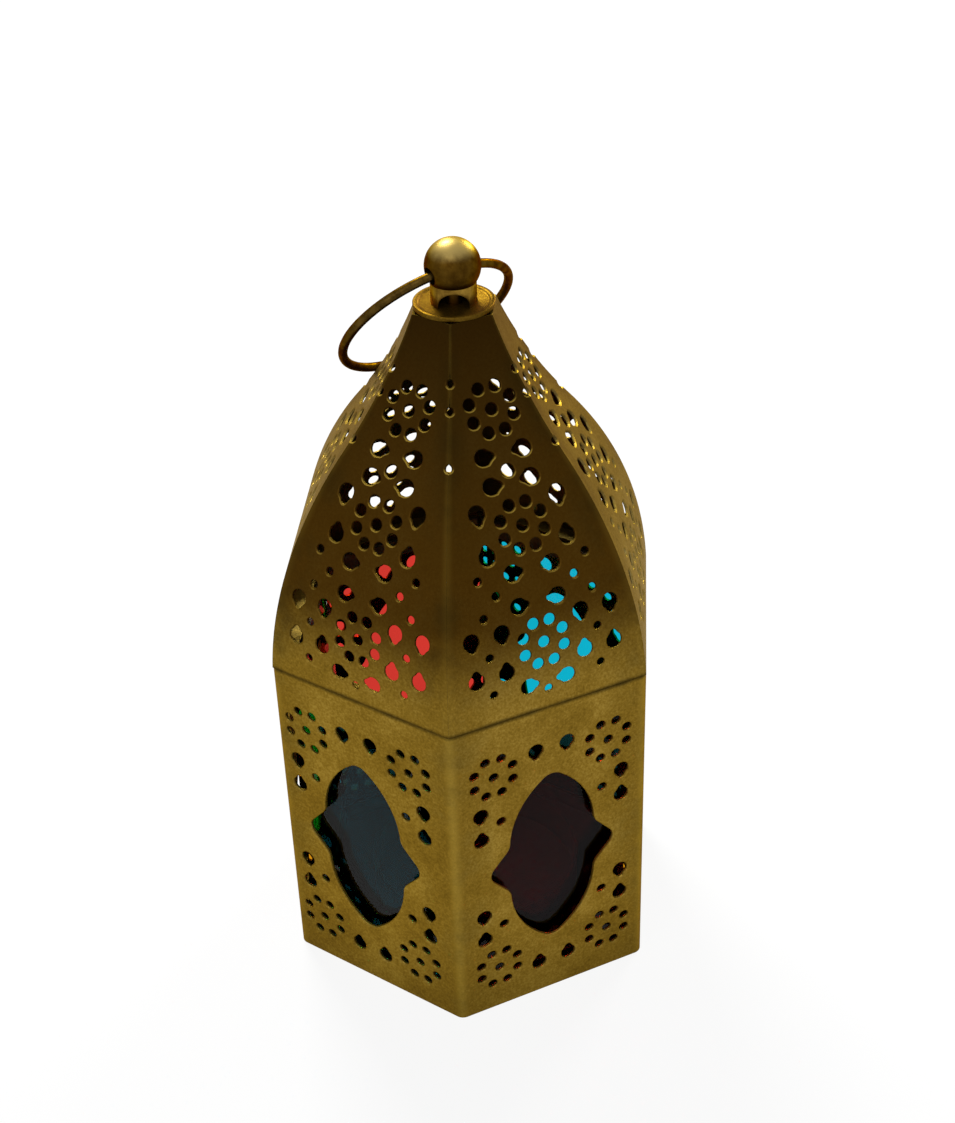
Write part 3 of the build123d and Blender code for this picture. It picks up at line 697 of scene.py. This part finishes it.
finial = {
    "roofTop": 135.0, "capRadius": 7.3, "cap": 0.9, "rim": 0.8, "dish": 0.3, "capEdge": 0.25, "neckRadius": 4.1,
    "neckWall": 0.9, "neckTall": 3.6, "neckEdge": 0.12, "archWide": 5.6, "archTall": 2.8, "archHeading": 305.0,
    "archSides": 48, "ball": 5.0, "holeEdge": 0.15, "stem": 1.5, "stemLow": 131.6, "stemEdge": 0.3,
    "stemSides": 32, "sides": 72, "smooth": 35, "ballSmooth": 30,
}
capTop = finial["roofTop"] + finial["cap"]
neckTop = capTop + finial["neckTall"]
ballHeight = neckTop + math.sqrt(finial["ball"] ** 2 - finial["neckRadius"] ** 2)

clearSelection()
bpy.ops.mesh.primitive_cylinder_add(
    vertices=finial["sides"], radius=finial["capRadius"] * mm, depth=finial["cap"] * mm,
    location=(0, 0, (finial["roofTop"] + finial["cap"] / 2) * mm))
cap = bpy.context.object
applyPlace(cap)
pick(cap, "FACE", lambda co: co.z > capTop * mm - touch)
bpy.ops.mesh.inset(thickness=finial["rim"] * mm)  # turned-up rim round a shallow dish
bpy.ops.mesh.inset(thickness=finial["dish"] * mm, depth=-finial["dish"] * mm)
bpy.ops.object.mode_set(mode="OBJECT")
roundEdges(cap, finial["capEdge"], 3, 30)
smoothBy(cap, finial["smooth"])
settle(cap, "capDish", capGold, "lid", "gold_sheet", "cap_disc")

clearSelection()
neckLow = capTop - finial["dish"]
bpy.ops.mesh.primitive_cylinder_add(
    vertices=finial["sides"], radius=finial["neckRadius"] * mm, depth=(neckTop - neckLow) * mm,
    location=(0, 0, (neckLow + neckTop) / 2 * mm), end_fill_type="NOTHING")
neck = bpy.context.object
applyPlace(neck)
applyModifier(neck, "SOLIDIFY", thickness=finial["neckWall"] * mm, offset=-1)
clearSelection()
bpy.ops.mesh.primitive_cylinder_add(
    vertices=finial["archSides"], radius=finial["archWide"] / 2 * mm, depth=2 * finial["neckRadius"] * mm)
arch = bpy.context.object
applyPlace(arch, Matrix.Translation((0, 0, capTop * mm))
           @ Matrix.Rotation(math.radians(finial["archHeading"]), 4, "Z")
           @ Matrix.Translation((finial["neckRadius"] * mm, 0, 0)) @ Matrix.Rotation(math.radians(90), 4, "Y")
           @ Matrix.Scale(2 * finial["archTall"] / finial["archWide"], 4, (1, 0, 0)))
cutAway(neck, arch)
roundEdges(neck, finial["neckEdge"], 2, 50)
smoothBy(neck, finial["smooth"])
settle(neck, "finialNeck", dullBrass, "lid", "brass_fittings", "finial_collar")

ring = {
    "radius": 16.6, "wire": 0.85, "heading": 156.9, "fall": 52.5, "hole": 1.6, "holeDrop": 0.8, "holeSides": 40,
    "sides": 144, "wireSides": 18, "smooth": 60,
}
away = Vector((math.cos(math.radians(ring["heading"])), math.sin(math.radians(ring["heading"])), 0))
across = away.cross(Vector((0, 0, 1)))
pivot = Vector((0, 0, (ballHeight - ring["holeDrop"]) * mm))

clearSelection()
bpy.ops.mesh.primitive_uv_sphere_add(
    segments=finial["sides"], ring_count=finial["sides"] // 2, radius=finial["ball"] * mm,
    location=(0, 0, ballHeight * mm))
ball = bpy.context.object
applyPlace(ball)
clearSelection()
bpy.ops.mesh.primitive_cylinder_add(
    vertices=ring["holeSides"], radius=ring["hole"] * mm, depth=4 * finial["ball"] * mm)
drill = bpy.context.object
applyPlace(drill, Matrix.Translation(pivot) @ across.to_track_quat("Z", "Y").to_matrix().to_4x4())
cutAway(ball, drill)
roundEdges(ball, finial["holeEdge"], 2)
clearSelection()
bpy.ops.mesh.primitive_cylinder_add(
    vertices=finial["stemSides"], radius=finial["stem"] * mm, depth=(neckTop - finial["stemLow"]) * mm,
    location=(0, 0, (neckTop + finial["stemLow"]) / 2 * mm))
stem = bpy.context.object
applyPlace(stem)
roundEdges(stem, finial["stemEdge"], 2)
ball = joinAll([ball, stem])
smoothBy(ball, finial["ballSmooth"])
settle(ball, "finialBall", crownLitBrass, "lid", "brass_fittings", "finial_ball")
print("cup, cap, neck and ball turned")

fall = math.radians(ring["fall"])
down = away * math.cos(fall) - Vector((0, 0, math.sin(fall)))
bow = ring["radius"] - math.sqrt(ring["radius"] ** 2 - finial["ball"] ** 2 + ring["holeDrop"] ** 2)
clearSelection()
bpy.ops.mesh.primitive_torus_add(
    major_radius=ring["radius"] * mm, minor_radius=ring["wire"] * mm, major_segments=ring["sides"],
    minor_segments=ring["wireSides"])
hoop = bpy.context.object
applyPlace(hoop, Matrix.Translation(pivot + down * (ring["radius"] - bow / 2) * mm)
           @ across.cross(down).to_track_quat("Z", "Y").to_matrix().to_4x4())
smoothBy(hoop, ring["smooth"])
settle(hoop, "wireRing", brownWire, "ring", "brass_fittings", "ring_handle")
print("ring bent")

hinge = {
    "wide": 18.0, "leaf": 0.6, "edge": 0.14, "pinOut": 36.441, "pinHeight": 70.05, "knuckle": 1.5, "curl": 0.65,
    "knuckleSides": 40, "clear": 1.8, "baseTall": 7.5, "roofTall": 5.0, "gap": 0.2, "pin": 0.75, "pinHead": 1.2,
    "pinOver": 0.1, "headTall": 0.5, "headSides": 28, "rodSides": 24, "rivet": 1.2, "shank": 0.7,
    "rivetAcross": 6.4, "rivetDrop": 6.0, "rivetRise": 3.2, "rivetOut": 34.38, "lean": 5.9, "smooth": 35,
}
third = hinge["wide"] / 3
basePlane = Matrix.Translation((0, wall["apothem"] * mm, hinge["pinHeight"] * mm))
roofPlane = Matrix.Translation((0, hinge["rivetOut"] * mm, (petal["seam"][1] + hinge["rivetRise"]) * mm)) \
    @ Matrix.Rotation(math.radians(hinge["lean"]), 4, "X")


# a strip cut in three, with its outer or middle third carried on to the knuckles and curled round the pin
def hingeLeaf(low, high, reach, isCurled, plane):
    clearSelection()
    bpy.ops.mesh.primitive_grid_add(x_subdivisions=3, y_subdivisions=1, size=mm)
    leaf = bpy.context.object
    applyPlace(leaf, Matrix.Translation((0, 0, (low + high) / 2 * mm))
               @ Matrix.Rotation(math.radians(90), 4, "X")
               @ Matrix.Diagonal((hinge["wide"], high - low, 1, 1)))
    edge = high if reach > 0 else low
    pick(leaf, "EDGE", lambda co: abs(co.z - edge * mm) < touch and isCurled(co.x))
    extrudeBy(0, 0, reach)
    bpy.ops.object.mode_set(mode="OBJECT")
    applyModifier(leaf, "SOLIDIFY", thickness=hinge["leaf"] * mm, offset=-1)
    roundEdges(leaf, hinge["edge"], 2)
    applyPlace(leaf, plane)
    parts = [leaf]
    for x in (-third, 0, third):
        if isCurled(x * mm):
            clearSelection()
            bpy.ops.mesh.primitive_cylinder_add(
                vertices=hinge["knuckleSides"], radius=hinge["knuckle"] * mm,
                depth=(third - hinge["gap"]) * mm, end_fill_type="NOTHING",
                location=(x * mm, hinge["pinOut"] * mm, hinge["pinHeight"] * mm),
                rotation=(0, math.radians(90), 0))
            curl = bpy.context.object
            applyModifier(curl, "SOLIDIFY", thickness=hinge["curl"] * mm, offset=-1)
            roundEdges(curl, hinge["edge"], 2)
            parts.append(curl)
    leaf = joinAll(parts)
    smoothBy(leaf, hinge["smooth"])
    return leaf


baseLeaf = hingeLeaf(-hinge["baseTall"], -hinge["clear"], hinge["clear"],
                     lambda x: abs(x) > third / 2 * mm, basePlane)
settle(baseLeaf, "hingeLeafBase", dullBrass, "base", "brass_fittings", "hinge_leaf_base")
roofLeaf = hingeLeaf(hinge["clear"] - hinge["rivetRise"], hinge["roofTall"] - hinge["rivetRise"],
                     -hinge["clear"], lambda x: abs(x) < third / 2 * mm, roofPlane)
settle(roofLeaf, "hingeLeafRoof", dullBrass, "lid", "brass_fittings", "hinge_leaf_roof")


# domed head of a pin or rivet, flat side at the origin and dome along Z
def domedHead(radius):
    clearSelection()
    bpy.ops.mesh.primitive_uv_sphere_add(
        segments=hinge["headSides"], ring_count=hinge["headSides"] // 2, radius=radius * mm)
    head = bpy.context.object
    pick(head, "FACE", lambda co: True)
    bpy.ops.mesh.bisect(plane_co=(0, 0, 0), plane_no=(0, 0, -1), use_fill=True, clear_outer=True)
    bpy.ops.mesh.select_all(action="SELECT")
    resizeBy(1, 1, hinge["headTall"] / radius)
    bpy.ops.object.mode_set(mode="OBJECT")
    return head


def headedRod(radius, headRadius, low, high):
    clearSelection()
    bpy.ops.mesh.primitive_cylinder_add(
        vertices=hinge["rodSides"], radius=radius * mm, depth=(high - low) * mm,
        location=(0, 0, (low + high) / 2 * mm))
    rod = bpy.context.object
    upper, lower = domedHead(headRadius), domedHead(headRadius)
    upper.location = (0, 0, high * mm)
    lower.location = (0, 0, low * mm)
    lower.rotation_euler = (math.radians(180), 0, 0)
    rod = joinAll([rod, upper, lower])
    smoothBy(rod, hinge["smooth"])
    return rod


pinReach = hinge["wide"] / 2 + hinge["pinOver"]
pin = headedRod(hinge["pin"], hinge["pinHead"], -pinReach, pinReach)
applyPlace(pin, Matrix.Translation((0, hinge["pinOut"] * mm, hinge["pinHeight"] * mm))
           @ Matrix.Rotation(math.radians(90), 4, "Y"))
settle(pin, "hingePin", dullBrass, "base", "brass_fittings", "hinge_pin")
for name, body, plane, rise, replaced in (
        ("rivetsBase", "base", basePlane, -hinge["rivetDrop"], "rivets_base"),
        ("rivetsRoof", "lid", roofPlane, 0.0, "rivets_roof")):
    through = wall["sheet"] if body == "base" else petal["sheet"]
    pair = []
    for way in (-1, 1):
        rivet = headedRod(hinge["shank"], hinge["rivet"], -through, hinge["leaf"])
        applyPlace(rivet, plane @ Matrix.Translation((way * hinge["rivetAcross"] * mm, 0, rise * mm))
                   @ Matrix.Rotation(math.radians(-90), 4, "X"))
        pair.append(rivet)
    settle(joinAll(pair), name, dullBrass, body, "brass_fittings", replaced)
print("hinge riveted on")

stage = {"across": 40.0, "paper": "#f2f2f0", "white": "#ffffff", "seenWhite": 0.9, "skyWhite": 0.93}


# 1 for the rays that show the background: to the camera, in metal and through glass
def seenDirectly(tree):
    rays = addNode(tree, "ShaderNodeLightPath")
    direct = reckon(tree, "MAXIMUM", rays.outputs["Is Camera Ray"], rays.outputs["Is Glossy Ray"])
    return reckon(tree, "MAXIMUM", direct, rays.outputs["Is Transmission Ray"])


# matt white card that keeps the lantern's soft shadow
card, tree = newMaterial("white_card")
share = reckon(tree, "MULTIPLY", seenDirectly(tree), stage["seenWhite"])
matt = addNode(tree, "ShaderNodeBsdfDiffuse", {"Color": linearColour(stage["paper"])})
glow = addNode(tree, "ShaderNodeEmission", {"Color": linearColour(stage["white"]), "Strength": 1.0})
face = addNode(tree, "ShaderNodeMixShader", {
    0: share, 1: matt.outputs["BSDF"], 2: glow.outputs["Emission"]})
addNode(tree, "ShaderNodeOutputMaterial", {"Surface": face.outputs["Shader"]})
clearSelection()
bpy.ops.mesh.primitive_plane_add(size=stage["across"])
floor = bpy.context.object
floor.name = "cardFloor"
floor.data.materials.append(card)

# a dim room above and around, white where it is seen past the floor
room = {"colour": "#d9dde2", "strength": 0.3}
world = bpy.data.worlds.new("studio")
scene.world = world
world.use_nodes = True
tree = world.node_tree
tree.nodes.clear()
dim = addNode(tree, "ShaderNodeBackground", {
    "Color": linearColour(room["colour"]), "Strength": room["strength"]})
bright = addNode(tree, "ShaderNodeBackground", {
    "Color": linearColour(stage["white"]), "Strength": stage["skyWhite"]})
shown = addNode(tree, "ShaderNodeMixShader", {
    0: seenDirectly(tree), 1: dim.outputs["Background"], 2: bright.outputs["Background"]})
addNode(tree, "ShaderNodeOutputWorld", {"Surface": shown.outputs["Shader"]})

lamps = {
    "windowLeft": {"heading": 145, "lift": 46, "far": 0.9, "size": 0.30, "watts": 9.0},
    "windowRight": {"heading": 92, "lift": 22, "far": 0.9, "size": 0.25, "watts": 5.0},
    "frontFill": {"heading": 285, "lift": 40, "far": 1.1, "size": 0.9, "watts": 3.0},
}
aim = Vector((0, 0, 0.07))
for name, lamp in lamps.items():
    heading, lift = math.radians(lamp["heading"]), math.radians(lamp["lift"])
    toLamp = Vector((math.cos(heading) * math.cos(lift), math.sin(heading) * math.cos(lift), math.sin(lift)))
    clearSelection()
    bpy.ops.object.light_add(type="AREA", location=aim + toLamp * lamp["far"])
    light = bpy.context.object
    light.name = name
    light.rotation_euler = toLamp.to_track_quat("Z", "Y").to_euler()
    light.data.size = lamp["size"]
    light.data.energy = lamp["watts"]

view = {
    "place": (0.175779, -0.243851, 0.279472), "turn": (56.5516, 1.7187, 34.1793), "lens": 60.7074, "sensor": 36,
    "nearest": 10.0,
}
clearSelection()
bpy.ops.object.camera_add(location=view["place"], rotation=[math.radians(angle) for angle in view["turn"]])
camera = bpy.context.object
camera.data.lens = view["lens"]
camera.data.sensor_width = view["sensor"]
camera.data.clip_start = view["nearest"] * mm
scene.camera = camera
print("floor, lamps and camera set")
